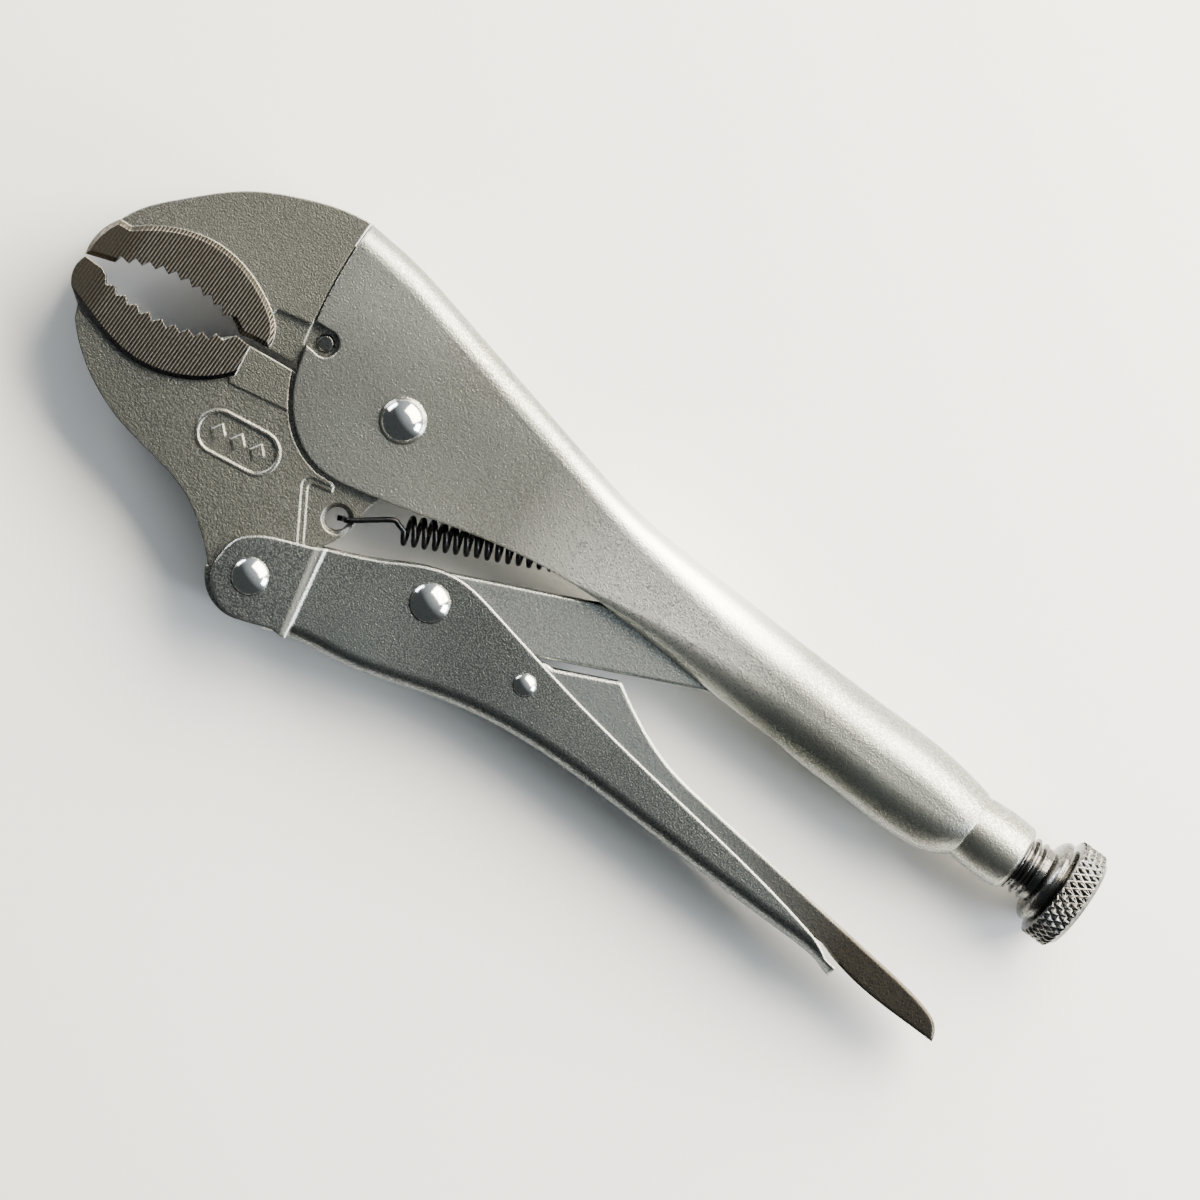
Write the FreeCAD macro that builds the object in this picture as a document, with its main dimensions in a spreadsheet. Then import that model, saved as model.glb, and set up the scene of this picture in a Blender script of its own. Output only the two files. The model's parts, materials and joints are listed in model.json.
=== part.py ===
"""Locking pliers, 10-inch curved jaw, as a parametric FreeCAD document.

Every sub-part is drawn about the main pivot: X runs along the fixed handle towards
the adjusting screw, Y towards the handle's spine, Z along the rivets. At the end all
of them are moved together, so that the origin is under the middle of the tool as it
lies on its side.
"""
import FreeCAD, Part
import math
import os
import Sketcher
from FreeCAD import Placement, Rotation, Vector

doc = FreeCAD.newDocument("locking_pliers")

# ---------------------------------------------------------------- driving dimensions
DIMENSIONS = [
    ("sheet", 2.3, "thickness of the fixed handle's sheet"),
    ("cheek_gap", 3.85, "half the gap between the fixed handle's cheeks"),
    ("tang_half", 3.75, "half-thickness of the fixed jaw's tang, a slide fit between the cheeks"),
    ("neck_start", 148.4, "start of the threaded neck"),
    ("neck_end", 161.5, "end of the threaded neck"),
    ("neck_radius", 7.9, "outer radius of the neck"),
    ("screw_y", 0.8, "height of the screw's axis above the main pivot"),
    ("bore_radius", 6.95, "radius of the neck's bore"),
    ("crest_radius", 6.6, "outer radius of the screw's thread"),
    ("root_radius", 5.5, "root radius of the screw's thread"),
    ("thread_pitch", 2.0, "pitch of the screw's thread"),
    ("thread_end", 166.2, "end of the thread, towards the knob"),
    ("collar_start", 167.4, "end of the screw's plain hub, where the knob's collar flares"),
    ("hub_round", 6.2, "radius of the screw's plain hub"),
    ("collar_radius", 9.7, "radius of the knob's collar"),
    ("knob_start", 170.6, "groove between the collar and the knurled band"),
    ("knob_bevel", 1.5, "bevel of the knob's end"),
    ("screw_tip", 97.4, "tip of the screw inside the handle"),
    ("knob_radius", 11.7, "outer radius of the knurled knob"),
    ("knob_end", 177.9, "flat end face of the knob"),
    ("cut_reach", 12.0, "half-depth of every cut that goes right through"),
    ("hub_half", 3.7, "half-thickness of the movable jaw between the cheeks"),
    ("hub_radius", 12.0, "radius of the movable jaw's hub"),
    ("hub_clearance", 0.4, "gap between the hub and the fixed jaw's tang"),
    ("ledge_half", 4.35, "half-thickness of the ledge round the spring hole's recess"),
    ("web_half", 5.0, "half-thickness of the movable jaw's web"),
    ("neck_half", 5.6, "half-thickness of the movable jaw beside the throat"),
    ("fixed_web_half", 6.0, "half-thickness of the fixed jaw's web"),
    ("fixed_low_half", 4.4, "half-thickness of the fixed jaw below its step"),
    ("pad_half", 7.0, "half-width of both toothed pads"),
    ("head_gap", 0.05, "gap under every rivet head"),
    ("pad_chamfer", 0.9, "chamfer round the toothed pads"),
    ("tooth_depth", 1.3, "depth of the teeth"),
    ("fit", 0.05, "radial running clearance of every rivet"),
    ("pivot_radius", 3.0, "shank of the main rivet"),
    ("pivot_head", 5.1, "head radius of the main rivet"),
    ("pivot_dome", 2.8, "head height of the main rivet"),
    ("lug_x", -7.0, "rivet between the movable jaw and the lever handle"),
    ("lug_y", -45.3, "its height"),
    ("lug_shank", 2.4, "its shank radius"),
    ("lug_head", 4.1, "its head radius"),
    ("lug_dome", 1.7, "its head height"),
    ("lug_radius", 9.5, "radius of the jaw's lug round that rivet"),
    ("link_x", 27.0, "rivet between the lever handle and the toggle link"),
    ("link_y", -27.8, "its height"),
    ("link_shank", 2.5, "its shank radius"),
    ("link_head", 4.4, "its head radius"),
    ("link_dome", 1.9, "its head height"),
    ("trigger_x", 53.4, "rivet of the release lever"),
    ("trigger_y", -30.2, "its height"),
    ("trigger_shank", 1.5, "its shank radius"),
    ("trigger_head", 2.6, "its head radius"),
    ("trigger_dome", 1.1, "its head height"),
    ("dowel_x", -22.6, "dowel pin of the fixed jaw"),
    ("dowel_y", 3.7, "its height"),
    ("dowel_radius", 1.85, "its radius"),
    ("dowel_half", 5.2, "half its length"),
    ("notch_radius", 2.95, "notch of the cheeks round the dowel pin"),
    ("lever_front_gap", 5.15, "half the gap between the lever handle's front ears"),
    ("lever_rear_gap", 4.65, "half the gap between its walls behind the joggle"),
    ("lever_sheet", 2.15, "thickness of the lever handle's sheet"),
    ("link_half", 3.4, "half-thickness of the toggle link"),
    ("link_half_width", 6.95, "half the width of the toggle link"),
    ("link_angle", 24.3, "slope of the toggle link when locked"),
    ("trigger_outer", 4.3, "half-width of the release lever"),
    ("trigger_inner", 2.6, "half the gap between its two flanges"),
    ("hole_x", 1.0, "spring hole of the movable jaw"),
    ("hole_y", -24.8, "its height"),
    ("hole_radius", 2.5, "its radius"),
    ("hole_rim", 3.4, "radius of the countersink round the spring hole"),
    ("anchor_x", 56.0, "hole in the handle's spring tab"),
    ("anchor_y", 1.7, "its height"),
    ("wire_radius", 0.6, "radius of the spring's wire"),
    ("coil_radius", 2.8, "mean radius of the spring's coils"),
    ("coil_pitch", 2.25, "pitch of the stretched spring"),
    ("coil_start", 14.2, "distance from the spring hole to the first coil"),
    ("coil_length", 38.25, "length of the coiled part"),
    ("mark_x", -25.4, "middle of the recessed panel on the movable jaw"),
    ("mark_y", -24.0, "its height"),
    ("mark_half_length", 8.8, "half the length of that panel"),
    ("mark_half_height", 4.2, "half its height, and the radius of its ends"),
    ("mark_slope", 8.0, "slope of that panel"),
    ("mark_depth", 0.6, "depth of that panel"),
    ("mark_rim", 0.7, "width of the rim round that panel"),
]

sheet = doc.addObject("Spreadsheet::Sheet", "sizes")
for row, (alias, number, meaning) in enumerate(DIMENSIONS, start=1):
    sheet.set(f"A{row}", str(number))
    sheet.setAlias(f"A{row}", alias)
    sheet.set(f"B{row}", meaning)
doc.recompute()


def size(alias):
    """The number in the spreadsheet cell of that name."""
    return float(sheet.get(alias))


# ---------------------------------------------------------------- helpers
def new_body(label):
    body = doc.addObject("PartDesign::Body", label)
    body.Label = label
    return body


def new_sketch(body, name, role="XY_Plane", lift=None):
    """A sketch on one of the body's own origin planes, raised by an expression."""
    sketch = body.newObject("Sketcher::SketchObject", name)
    plane = next(o for o in body.Origin.OriginFeatures if o.Role == role)
    sketch.AttachmentSupport = [(plane, "")]
    sketch.MapMode = "FlatFace"
    if lift is not None:
        sketch.setExpression("AttachmentOffset.Base.z", lift)
    return sketch


def flat(points):
    return [Vector(x, y, 0) for x, y in points]


def draw(sketch, start, *runs):
    """Draws one closed outline. Each run starts where the last one ended:
    ("lines", points), ("curve", points) or ("arc", [middle, end])."""
    here = start
    for kind, points in runs:
        path = flat([here] + points)
        if kind == "lines":
            for a, b in zip(path, path[1:]):
                sketch.addGeometry(Part.LineSegment(a, b), False)
        elif kind == "arc":
            sketch.addGeometry(Part.Arc(*path), False)
        else:
            spline = Part.BSplineCurve()
            spline.interpolate(path)
            sketch.addGeometry(spline, False)
        here = points[-1]
    if math.dist(here, start) > 1e-6:
        sketch.addGeometry(Part.LineSegment(*flat([here, start])), False)


def draw_circle(sketch, x, y, radius):
    """A circle whose centre and radius are bound to spreadsheet cells. Without cells
    for the centre it sits on the main pivot."""
    centre = Vector(size(x), size(y), 0) if x else Vector(0, 0, 0)
    index = sketch.addGeometry(Part.Circle(centre, Vector(0, 0, 1), 1.0), False)
    if x:
        for kind, cell in (("DistanceX", x), ("DistanceY", y)):
            place = Sketcher.Constraint(kind, -1, 1, index, 3, size(cell))
            number = sketch.addConstraint(place)
            sketch.setExpression(f"Constraints[{number}]", f"sizes.{cell}")
    else:
        sketch.addConstraint(Sketcher.Constraint("Coincident", index, 3, -1, 1))
    number = sketch.addConstraint(Sketcher.Constraint("Radius", index, 1.0))
    sketch.setExpression(f"Constraints[{number}]", radius)


def draw_stadium(sketch, centre, half_length, radius, slope):
    """A bar with round ends, turned by slope degrees about its centre."""
    turn = Rotation(Vector(0, 0, 1), slope)

    def at(x, y):
        spot = turn.multVec(Vector(x, y, 0))
        return centre[0] + spot.x, centre[1] + spot.y

    flat_half = half_length - radius
    draw(sketch, at(-flat_half, radius),
         ("lines", [at(flat_half, radius)]),
         ("arc", [at(half_length, 0), at(flat_half, -radius)]),
         ("lines", [at(-flat_half, -radius)]),
         ("arc", [at(-half_length, 0), at(-flat_half, radius)]))


def pad(body, sketch, half):
    """A plate that reaches half (an expression) to each side of the sketch."""
    feature = body.newObject("PartDesign::Pad", sketch.Name + "_pad")
    feature.Profile = sketch
    feature.SideType = "Symmetric"
    feature.setExpression("Length", f"2 * ({half})")
    body.Tip = feature
    return feature


def pocket(body, sketch, half="sizes.cut_reach"):
    """Cuts half (an expression) to each side of the sketch's plane."""
    before = body_volume(body)
    feature = body.newObject("PartDesign::Pocket", sketch.Name + "_pocket")
    feature.Profile = sketch
    feature.SideType = "Symmetric"
    feature.setExpression("Length", f"2 * ({half})")
    body.Tip = feature
    if body_volume(body) > before - 0.01:
        raise RuntimeError(f"{feature.Name} cut nothing")
    return feature


def body_volume(body):
    doc.recompute()
    return body.Shape.Volume


def drill(body, name, x, y, radius, half="sizes.cut_reach"):
    """A round hole along Z, with its size in the spreadsheet."""
    sketch = new_sketch(body, name)
    draw_circle(sketch, x, y, radius)
    return pocket(body, sketch, half)


def countersink(body, name, x, y, inner, outer, surface):
    """A shallow cone round a hole, on both faces of a plate."""
    before = body_volume(body)
    sketch = new_sketch(body, name, "XZ_Plane")
    slope = size(outer) - size(inner)
    axis_x = size(x)
    for side in (1, -1):
        top = side * size(surface)
        draw(sketch, (axis_x, top),
             ("lines", [(axis_x + size(outer), top),
                        (axis_x + size(inner), top - side * slope),
                        (axis_x, top - side * slope)]))
    sketch.setExpression("AttachmentOffset.Base.z", f"-sizes.{y}")
    axis = sketch.addGeometry(Part.LineSegment(Vector(axis_x, -1, 0), Vector(axis_x, 1, 0)), True)
    sketch.addConstraint(Sketcher.Constraint("Block", axis))
    groove = body.newObject("PartDesign::Groove", name + "_groove")
    groove.Profile = sketch
    groove.ReferenceAxis = (sketch, ["Axis0"])
    groove.Angle = 360
    body.Tip = groove
    if body_volume(body) > before - 0.01:
        raise RuntimeError(f"{name} cut nothing")
    return groove


def edges_where(feature, wanted):
    """Names of the feature's edges for which wanted(edge) is true."""
    doc.recompute()
    edges = enumerate(feature.Shape.Edges, start=1)
    return [f"Edge{number}" for number, edge in edges if wanted(edge)]


def dress(body, kind, base, amount, wanted):
    """A fillet or chamfer on the edges that wanted picks."""
    feature = body.newObject("PartDesign::" + kind, f"{body.Label}_{kind.lower()}")
    feature.Base = (base, edges_where(base, wanted))
    feature.setExpression("Radius" if kind == "Fillet" else "Size", amount)
    body.Tip = feature
    doc.recompute()
    return feature


def long_edge_at(height, length):
    """Picks edges of at least that length that lie flat at +height or -height."""
    def wanted(edge):
        box = edge.BoundBox
        level = abs(abs(box.ZMin) - height) < 1e-3 and box.ZLength < 1e-3
        return level and edge.Length > length
    return wanted


def toothed_arc(first, middle, last, count, lean):
    """Tips on the arc through three points, and after each tip a gullet further from the
    arc's centre. lean shifts the gullets along the arc."""
    edge = Part.Arc(*flat([first, middle, last])).toShape()
    centre = edge.Curve.Center
    points = []
    span = (edge.LastParameter - edge.FirstParameter) / (count - 1)
    for step in range(count):
        tip = edge.valueAt(edge.FirstParameter + step * span)
        gullet = edge.valueAt(edge.FirstParameter + (step + lean) * span)
        away = (gullet - centre).normalize() * size("tooth_depth")
        points += [(tip.x, tip.y), (gullet.x + away.x, gullet.y + away.y)]
    return points


# ---------------------------------------------------------------- fixed handle
# x, top, bottom, half-width, radius of the spine's corners, radius of the lower corners
HANDLE_SECTIONS = [
    (-34.0, 30.6, -21.0, 6.15, 5.2, 0.4),
    (-20.0, 29.0, -21.0, 6.15, 5.2, 0.4),
    (0.0, 25.0, -20.0, 6.15, 5.2, 0.4),
    (20.0, 20.4, -15.0, 6.15, 5.2, 0.4),
    (38.0, 16.3, -9.6, 6.2, 5.2, 0.4),
    (52.0, 13.6, -7.4, 6.9, 5.6, 1.4),
    (66.0, 12.6, -7.1, 7.9, 6.8, 3.6),
    (82.0, 12.0, -8.4, 8.75, 8.2, 6.8),
    (98.0, 11.4, -9.5, 9.0, 8.9, 8.7),
    (118.0, 11.0, -9.9, 9.0, 8.9, 8.9),
    (138.0, 10.4, -10.3, 9.0, 8.9, 8.9),
    (143.0, 9.7, -9.6, 8.8, 8.7, 8.7),
    (148.4, 8.7, -7.1, 7.9, 7.8, 7.8),
]


# where the neck's bore meets the hollow, and a place in the seam under the screw
BORE_START = 140.0
BELOW_SCREW = Vector(120.0, -9.0, 0.0)


def section(body, name, x, top, bottom, half, top_round, low_round, wall):
    """A rounded rectangle across the handle, shrunk by the thickness of the wall."""
    sketch = new_sketch(body, name, "YZ_Plane", str(x))
    upper = top - wall
    lower = bottom + wall
    side = half - wall
    spine = max(top_round - wall, 0.3)
    lip = max(low_round - wall, 0.3)
    corner = 1 - math.sqrt(0.5)
    draw(sketch, (lower + lip, -side),
         ("lines", [(upper - spine, -side)]),
         ("arc", [(upper - spine * corner, -side + spine * corner), (upper, -side + spine)]),
         ("lines", [(upper, side - spine)]),
         ("arc", [(upper - spine * corner, side - spine * corner), (upper - spine, side)]),
         ("lines", [(lower + lip, side)]),
         ("arc", [(lower + lip * corner, side - lip * corner), (lower, side - lip)]),
         ("lines", [(lower, -side + lip)]),
         ("arc", [(lower + lip * corner, -side + lip * corner), (lower + lip, -side)]))
    return sketch


def handle_loft(body, kind, prefix, wall, rows):
    sketches = [section(body, f"{prefix}{number}", *row, wall) for number, row in enumerate(rows)]
    loft = body.newObject("PartDesign::" + kind, prefix + "loft")
    loft.Profile = sketches[0]
    loft.Sections = sketches[1:]
    body.Tip = loft
    doc.recompute()
    return loft


def fixed_handle():
    body = new_body("fixed_handle")
    wall = size("sheet")
    handle_loft(body, "AdditiveLoft", "skin", 0.0, HANDLE_SECTIONS)
    # the neck, slightly barrelled, is turned about the screw's axis
    neck = new_sketch(body, "neck")
    axis_y = size("screw_y")
    start = size("neck_start")
    end = size("neck_end")
    radius = size("neck_radius")
    draw(neck, (start - 1.0, axis_y),
         ("lines", [(start - 1.0, axis_y + radius - 0.5), (start + 0.6, axis_y + radius - 0.5)]),
         ("arc", [(0.5 * (start + end), axis_y + radius), (end - 0.8, axis_y + radius - 0.25)]),
         ("lines", [(end, axis_y + radius - 0.9), (end, axis_y)]))
    turned = body.newObject("PartDesign::Revolution", "neck_turned")
    turned.Profile = neck
    axis = neck.addGeometry(
        Part.LineSegment(Vector(start, axis_y, 0), Vector(end, axis_y, 0)), True)
    neck.addConstraint(Sketcher.Constraint("Block", axis))
    turned.ReferenceAxis = (neck, ["Axis0"])
    turned.Angle = 360
    body.Tip = turned
    # hollow: an inner loft, short of the neck, and the neck's bore
    before = body_volume(body)
    ahead = (HANDLE_SECTIONS[0][0] - 2.0,) + HANDLE_SECTIONS[0][1:]
    handle_loft(body, "SubtractiveLoft", "hollow", wall, [ahead] + HANDLE_SECTIONS[1:-1])
    bore = new_sketch(body, "bore", "YZ_Plane", "sizes.neck_end + 1")
    index = bore.addGeometry(Part.Circle(Vector(axis_y, 0, 0), Vector(0, 0, 1), 6.0), False)
    number = bore.addConstraint(Sketcher.Constraint("Radius", index, 6.0))
    bore.setExpression(f"Constraints[{number}]", "sizes.bore_radius")
    bored = body.newObject("PartDesign::Pocket", "bore_pocket")
    bored.Profile = bore
    bored.setExpression("Length", f"sizes.neck_end + 1 - {BORE_START}")
    body.Tip = bored
    if body_volume(body) > 0.75 * before:
        raise RuntimeError("the handle isn't hollow")
    # the open seam on the side of the lever handle, narrowing behind the toggle link
    seam = new_sketch(body, "seam", "XZ_Plane")
    half = size("cheek_gap")
    draw(seam, (-40.0, half),
         ("lines", [(104.0, half), (112.0, 1.6), (143.0, 0.8), (143.0, -0.8),
                    (112.0, -1.6), (104.0, -half), (-40.0, -half)]))
    slot = body.newObject("PartDesign::Pocket", "seam_pocket")
    slot.Profile = seam
    slot.setExpression("Length", "2 * sizes.cut_reach")
    slot.Reversed = True
    body.Tip = slot
    doc.recompute()
    if body.Shape.isInside(BELOW_SCREW, 0.01, True):
        raise RuntimeError("the seam isn't on the handle's lower side")
    # the cheeks' front and lower edge, from the jaw to where the tube takes over
    edge = new_sketch(body, "cheek_edge")
    draw(edge, (-29.2, 34.0),
         ("lines", [(-29.2, 25.0)]),
         ("curve", [(-28.6, 17.0), (-27.3, 8.0), (-25.4, 0.0), (-22.4, -8.2), (-18.4, -13.4),
                    (-12.1, -17.5), (-6.0, -18.5), (0.0, -17.6), (12.8, -14.4),
                    (30.0, -9.8), (46.0, -7.2), (60.0, -6.8)]),
         ("lines", [(60.0, -30.0), (-45.0, -30.0), (-45.0, 34.0)]))
    pocket(body, edge)
    notch = new_sketch(body, "dowel_notch")
    x = size("dowel_x")
    y = size("dowel_y")
    reach = size("notch_radius")
    draw(notch, (x - 7.0, y - reach + 0.6),
         ("lines", [(x - 0.9, y - reach + 0.1)]),
         ("arc", [(x + reach, y), (x - 0.9, y + reach - 0.1)]),
         ("lines", [(x - 7.0, y + reach - 0.6)]))
    pocket(body, notch)
    # the lanced tab that hangs from the spine and holds the spring's far hook
    tab = new_sketch(body, "spring_tab")
    draw(tab, (52.6, 12.4),
         ("lines", [(52.6, -0.6)]),
         ("arc", [(53.3, -1.9), (54.6, -2.4)]),
         ("lines", [(57.4, -2.4)]),
         ("arc", [(58.7, -1.9), (59.4, -0.6)]),
         ("lines", [(59.4, 12.0)]))
    pad(body, tab, "sizes.sheet / 2")
    drill(body, "anchor_hole", "anchor_x", "anchor_y", "sizes.wire_radius * 2", "sizes.sheet")
    drill(body, "pivot_hole", None, None, "sizes.pivot_radius + sizes.fit")
    return body


# ---------------------------------------------------------------- fixed jaw
JAW_BACK = [(-72.6, -0.5), (-70.0, 4.5), (-65.0, 10.2), (-54.0, 20.3), (-45.0, 25.2),
            (-35.0, 28.8), (-29.6, 29.7)]
FIXED_NOSE = [(-74.3, -10.5), (-74.7, -6.0), (-72.6, -0.5)]
FIXED_THROAT = (-38.2, -5.2)
CHEEK_FRONT = [(-29.6, 25.0), (-29.0, 17.0), (-27.7, 8.0), (-27.2, 5.3)]
GAP_TOP = [(-35.0, -4.5), (-25.0, -3.2)]


def fixed_bite():
    """The fixed jaw's biting edge, from its nose to the throat."""
    teeth = toothed_arc((-68.3, -8.4), (-55.4, -3.45), (-43.6, -4.1), 10, 0.45)
    return [(-72.4, -9.8)] + teeth + [FIXED_THROAT]


def fixed_jaw():
    body = new_body("fixed_jaw")
    # tang between the cheeks, cut round the movable jaw's hub
    inner = size("hub_radius") + size("hub_clearance")
    top = math.radians(112)
    low = math.radians(186.5)
    middle = 0.5 * (top + low)
    core = new_sketch(body, "core")
    draw(core, FIXED_NOSE[0],
         ("arc", FIXED_NOSE[1:]),
         ("curve", JAW_BACK[1:]),
         ("lines", [(-29.6, 24.0), (-10.0, 20.3),
                    (inner * math.cos(top), inner * math.sin(top))]),
         ("arc", [(inner * math.cos(middle), inner * math.sin(middle)),
                  (inner * math.cos(low), inner * math.sin(low))]),
         ("lines", [GAP_TOP[1], GAP_TOP[0], FIXED_THROAT] + fixed_bite()[-2::-1]))
    pad(body, core, "sizes.tang_half")
    # the step below which the forging is thinner, up to the cheeks' edge
    low_web = new_sketch(body, "low_web")
    draw(low_web, (-38.0, 5.0),
         ("lines", [(-27.2, 5.3)]),
         ("curve", [(-26.4, 1.6), (-25.0, -3.2)]),
         ("lines", [GAP_TOP[0], (-38.0, -5.0)]))
    pad(body, low_web, "sizes.fixed_low_half")
    web = new_sketch(body, "web")
    draw(web, FIXED_NOSE[0],
         ("arc", FIXED_NOSE[1:]),
         ("curve", JAW_BACK[1:]),
         ("lines", CHEEK_FRONT[:1]),
         ("curve", CHEEK_FRONT[1:]),
         ("lines", [(-35.0, 3.7), (-36.5, -3.0), (-41.0, -1.5), (-55.0, 0.5), (-66.0, -3.0)]))
    pad(body, web, "sizes.fixed_web_half")
    block = new_sketch(body, "tooth_block")
    draw(block, FIXED_NOSE[0],
         ("arc", FIXED_NOSE[1:]),
         ("lines", [(-69.7, -0.3)]),
         ("curve", [(-63.4, 4.2), (-55.0, 7.2), (-46.6, 7.0), (-38.2, 3.9), (-32.9, -0.3),
                    (-31.8, -4.1)]),
         ("lines", [GAP_TOP[0], FIXED_THROAT] + fixed_bite()[-2::-1]))
    teeth = pad(body, block, "sizes.pad_half")
    dress(body, "Chamfer", teeth, "sizes.pad_chamfer",
          long_edge_at(size("pad_half"), 2.2))
    drill(body, "dowel_hole", "dowel_x", "dowel_y", "sizes.dowel_radius")
    return body


# ---------------------------------------------------------------- movable jaw
LOW_NOSE = [(-74.0, -10.9), (-74.5, -13.5), (-72.6, -17.8)]
LOW_THROAT = (-38.9, -6.0)
WEB_TIP = [(-69.5, -20.0), (-68.3, -22.7)]
WEB_FRONT = [(-59.5, -30.0), (-50.0, -34.2), (-40.0, -36.3),
             (-30.0, -38.4), (-22.0, -42.8), (-15.3, -48.7)]
NECK_TOP = [(-35.0, -6.0), (-25.0, -5.0)]
# the panel holds three small raised diamonds, this far apart
MARK_STEP = 4.6
MARK_DIAMOND = [(1.7, 0.0), (0.0, 2.1), (-1.7, 0.0), (0.0, -2.1)]


def movable_bite():
    """The movable jaw's biting edge, from its nose to the throat."""
    teeth = toothed_arc((-68.2, -11.6), (-57.3, -12.7), (-42.4, -8.1), 10, 0.5)
    return [(-69.8, -10.9)] + teeth + [LOW_THROAT]


def lug_spot(degrees):
    """A point of the lug's round end, about the rivet of the lever handle."""
    angle = math.radians(degrees)
    reach = size("lug_radius")
    return size("lug_x") + reach * math.cos(angle), size("lug_y") + reach * math.sin(angle)


def movable_jaw():
    body = new_body("movable_jaw")
    hub = size("hub_radius")
    core = new_sketch(body, "core")
    draw(core, LOW_NOSE[0],
         ("arc", LOW_NOSE[1:]),
         ("lines", WEB_TIP),
         ("curve", WEB_FRONT),
         ("lines", [lug_spot(200)]),
         ("arc", [lug_spot(280), lug_spot(10)]),
         ("lines", [(1.7, -31.4)]),
         ("curve", [(4.4, -25.6), (4.9, -20.0), (7.0, -13.0), (hub, 0.0)]),
         ("arc", [(0.0, hub), (-math.sqrt(hub * hub - 3.6 * 3.6), -3.6)]),
         ("lines", [NECK_TOP[1], NECK_TOP[0], LOW_THROAT] + movable_bite()[-2::-1]))
    pad(body, core, "sizes.hub_half")
    # the web is thick in front of the cheeks' edge and round the lug
    web = new_sketch(body, "web")
    draw(web, LOW_NOSE[0],
         ("arc", LOW_NOSE[1:]),
         ("lines", WEB_TIP),
         ("curve", WEB_FRONT),
         ("lines", [lug_spot(200)]),
         ("arc", [lug_spot(280), lug_spot(10)]),
         ("lines", [(0.4, -34.6), (-2.9, -33.9), (-9.2, -23.6)]),
         ("arc", [(-9.4, -21.8), (-8.0, -20.7)]),
         ("lines", [(-4.0, -20.0), (-4.2, -19.3), (-8.2, -19.5)]),
         ("curve", [(-12.9, -18.3), (-19.3, -14.0), (-23.3, -8.2), (-24.9, -5.0)]),
         ("lines", [NECK_TOP[0], LOW_THROAT, (-45.0, -12.0), (-56.0, -15.0), (-70.0, -13.5)]))
    slope = size("mark_slope")
    centre = (size("mark_x"), size("mark_y"))
    length = size("mark_half_length")
    height = size("mark_half_height")
    draw_stadium(web, centre, length, height, slope)
    pad(body, web, "sizes.web_half")
    ledge = new_sketch(body, "ledge")
    draw(ledge, (1.2, -34.6),
         ("lines", [(-1.7, -33.3), (-7.9, -23.2)]),
         ("arc", [(-7.9, -22.2), (-7.1, -21.7)]),
         ("lines", [(-3.2, -21.0), (-3.6, -19.6), (-8.2, -20.2), (-10.0, -22.0), (-4.0, -34.6)]))
    pad(body, ledge, "sizes.ledge_half")
    floor = new_sketch(body, "mark_floor")
    under_rim = 0.5
    draw_stadium(floor, centre, length + under_rim, height + under_rim, slope)
    pad(body, floor, "sizes.web_half - sizes.mark_depth")
    rim = new_sketch(body, "mark_rim")
    width = size("mark_rim")
    draw_stadium(rim, centre, length + width, height + width, slope)
    draw_stadium(rim, centre, length, height, slope)
    pad(body, rim, "sizes.web_half + 0.25")
    diamonds = new_sketch(body, "mark_diamonds")
    turn = Rotation(Vector(0, 0, 1), slope)
    for middle in (-MARK_STEP, 0.0, MARK_STEP):
        corners = [turn.multVec(Vector(middle + x, y, 0)) for x, y in MARK_DIAMOND]
        places = [(centre[0] + c.x, centre[1] + c.y) for c in corners]
        draw(diamonds, places[0], ("lines", places[1:]))
    pad(body, diamonds, "sizes.web_half - sizes.mark_depth / 3")
    neck = new_sketch(body, "neck")
    draw(neck, NECK_TOP[0],
         ("lines", [NECK_TOP[1]]),
         ("curve", [(-23.5, -8.2), (-20.9, -12.2)]),
         ("lines", [(-20.7, -12.4), (-34.2, -14.9), (-38.0, -9.0)]))
    pad(body, neck, "sizes.neck_half")
    block = new_sketch(body, "tooth_block")
    draw(block, LOW_NOSE[0],
         ("arc", LOW_NOSE[1:]),
         ("lines", [(-69.5, -19.6)]),
         ("curve", [(-65.0, -21.0), (-54.0, -22.9), (-45.0, -21.0), (-34.2, -12.9)]),
         ("lines", [(-35.2, -6.1), LOW_THROAT] + movable_bite()[-2::-1]))
    teeth = pad(body, block, "sizes.pad_half")
    dress(body, "Chamfer", teeth, "sizes.pad_chamfer",
          long_edge_at(size("pad_half"), 10.0))
    drill(body, "pivot_hole", None, None, "sizes.pivot_radius + sizes.fit")
    drill(body, "lug_hole", "lug_x", "lug_y", "sizes.lug_shank + sizes.fit")
    drill(body, "spring_hole", "hole_x", "hole_y", "sizes.hole_radius")
    countersink(body, "hole_sink", "hole_x", "hole_y", "hole_radius", "hole_rim", "hub_half")
    return body


# ---------------------------------------------------------------- lever handle
EAR_FRONT = [(-14.7, -45.0), (-13.0, -39.4), (-7.9, -35.8), (2.6, -31.3)]
LEVER_TOP = [(12.8, -26.9), (22.0, -22.0), (29.0, -20.1), (38.3, -21.1), (60.0, -25.6),
             (85.0, -29.7), (120.0, -34.7), (133.0, -37.3)]
# x, level above the walls, bottom of the channel, half-width, upper and lower corner radius
LEVER_SECTIONS = [
    (0.0, -15.0, -54.2, 6.8, 0.4, 3.2),
    (20.0, -15.0, -48.9, 6.8, 0.4, 3.2),
    (35.0, -15.0, -44.7, 6.8, 0.4, 3.2),
    (50.0, -15.0, -41.1, 6.8, 0.4, 3.2),
    (62.0, -15.0, -39.8, 6.8, 0.4, 3.2),
    (80.0, -15.0, -39.7, 6.8, 0.4, 3.2),
    (105.0, -15.0, -40.5, 6.8, 0.4, 3.2),
    (128.0, -15.0, -41.0, 6.8, 0.4, 3.2),
    (137.0, -15.0, -41.4, 6.8, 0.4, 3.2),
    (142.4, -15.0, -42.8, 6.8, 0.4, 3.2),
]


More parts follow.
